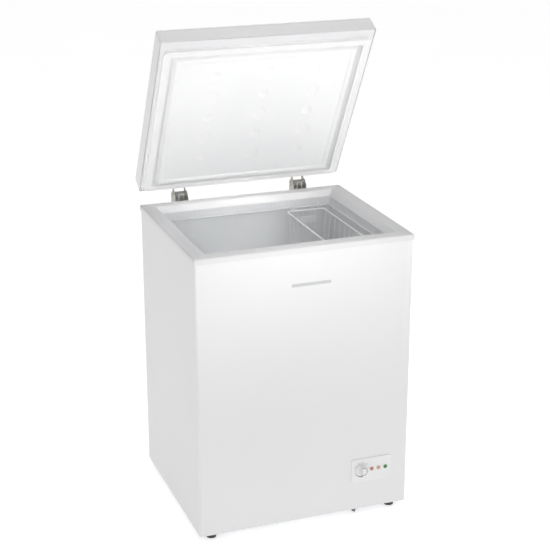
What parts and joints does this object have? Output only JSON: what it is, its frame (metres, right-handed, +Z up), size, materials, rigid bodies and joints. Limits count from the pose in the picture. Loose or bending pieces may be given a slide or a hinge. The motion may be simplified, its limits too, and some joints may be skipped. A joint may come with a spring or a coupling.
{
  "type": "chest freezer",
  "caption": "Compact white chest freezer with a foam-filled rear-hinged lid standing open, a sliding wire basket, a front control panel and a rear compressor bay.",
  "frame": {"origin": "centre of the bounding box of the open freezer, on the floor it stands on", "axes": "+X to the right of someone facing the front, +Y to the back (hinges), +Z up; rest pose is with the lid open 60.5 degrees"},
  "size_m": [0.6, 0.5768, 1.3053],
  "materials": {
    "front_enamel": "smooth white enamel, fine orange peel",
    "side_enamel": "smooth white enamel, fine orange peel",
    "back_enamel": "white enamel, light scuffs",
    "galvanised_sheet": "zinc spangle, dull",
    "feet_plastic": "moulded black plastic",
    "rim_plastic": "extruded white plastic, satin",
    "strip_plastic": "moulded white plastic",
    "liner_sheet": "stucco embossed, bright",
    "foam": "rigid closed cell foam",
    "coil_steel": "drawn tube",
    "plate_steel": "zinc plated",
    "drain_plastic": "translucent white hose",
    "cap_rubber": "soft dark cap",
    "tray_paint": "black paint",
    "mount_rubber": "black rubber",
    "stud_steel": "zinc plated",
    "compressor_paint": "glossy black paint",
    "cover_plastic": "black moulded plastic",
    "relay_plastic": "dark moulded resin",
    "pipe_copper": "drawn copper tube, dulled",
    "lead_rubber": "black cable sheath",
    "rear_cover_plastic": "grey moulded grille",
    "screw_steel": "zinc plated screws",
    "gland_plastic": "black nylon",
    "panel_plastic": "white moulded bezel",
    "lens_red": "clear red lens",
    "lens_amber": "clear amber lens",
    "lens_green": "clear green lens",
    "board_resin": "circuit board",
    "knob_plastic": "white moulded knob",
    "shaft_steel": "turned steel",
    "badge_metal": "brushed blank strip",
    "hinge_nickel": "dull nickel plate",
    "spring_steel": "spring wire",
    "lid_enamel": "smooth white enamel",
    "lid_frame_plastic": "white extruded edge",
    "lid_panel_plastic": "vacuum formed white sheet",
    "gasket_vinyl": "soft grey-white vinyl",
    "grip_plastic": "moulded white plastic, satin",
    "basket_wire": "white plastic-coated wire"
  },
  "bodies": {
    "cabinet": {"front_panel": "front_enamel", "back_panel": "back_enamel", "side_panel_left": "side_enamel", "side_panel_right": "side_enamel", "base_pan": "galvanised_sheet", "feet": "feet_plastic", "top_rim": "rim_plastic", "hanging_strips": "strip_plastic", "inner_liner": "liner_sheet", "cabinet_foam": "foam", "evaporator_coil": "coil_steel", "condenser_coil": "coil_steel", "hinge_backing_plates": "plate_steel", "bay_shield": "galvanised_sheet", "drain_tube": "drain_plastic", "drain_outlet": "drain_plastic", "compressor_tray": "tray_paint", "compressor_studs": "stud_steel", "compressor_mounts": "mount_rubber", "compressor_base": "compressor_paint", "compressor": "compressor_paint", "terminal_cover": "cover_plastic", "start_relay": "relay_plastic", "refrigerant_pipes": "pipe_copper", "filter_drier": "pipe_copper", "supply_lead": "lead_rubber", "thermostat_lead": "lead_rubber", "rear_cover": "rear_cover_plastic", "rear_cover_screws": "screw_steel", "cable_gland": "gland_plastic", "control_panel": "panel_plastic", "lamp_lens_red": "lens_red", "lamp_lens_amber": "lens_amber", "lamp_lens_green": "lens_green", "lamp_board": "board_resin", "thermostat": "cover_plastic", "front_badge": "badge_metal", "hinge_brackets": "hinge_nickel", "hinge_pins": "stud_steel", "hinge_springs": "spring_steel", "hinge_bracket_screws": "screw_steel"},
    "lid": {"lid_skin": "lid_enamel", "lid_frame": "lid_frame_plastic", "lid_inner_panel": "lid_panel_plastic", "lid_foam": "foam", "lid_backing_plates": "plate_steel", "lid_gasket": "gasket_vinyl", "hinge_arms": "hinge_nickel", "hinge_arm_screws": "screw_steel"},
    "basket": {"basket_rim": "basket_wire", "basket_sides": "basket_wire", "basket_floor": "basket_wire", "basket_ends": "basket_wire", "basket_grips": "grip_plastic", "basket_hangers": "basket_wire"},
    "knob": {"control_knob": "knob_plastic", "thermostat_shaft": "shaft_steel"},
    "floor_plug": {"drain_plug": "cap_rubber"},
    "outlet_cap": {"drain_cap": "cap_rubber"}
  },
  "joints": [
    {"name": "lid_hinge", "type": "hinge", "parent": "cabinet", "child": "lid", "pos_m": [0, 0.259, 0.801], "axis": [-1, 0, 0], "range_deg": [-60.5, 19.5]},
    {"name": "basket_slide", "type": "slide", "parent": "cabinet", "child": "basket", "axis": [1, 0, 0], "range_m": [-0.355, 0.014]},
    {"name": "knob_turn", "type": "hinge", "parent": "cabinet", "child": "knob", "pos_m": [0.163, -0.28, 0.134], "axis": [0, -1, 0], "range_deg": [0, 270]},
    {"name": "drain_plug_lift", "type": "slide", "parent": "cabinet", "child": "floor_plug", "axis": [0, 0, 1], "range_m": [0, 0.03]},
    {"name": "drain_cap_pull", "type": "slide", "parent": "cabinet", "child": "outlet_cap", "axis": [0, -1, 0], "range_m": [0, 0.018]}
  ]
}
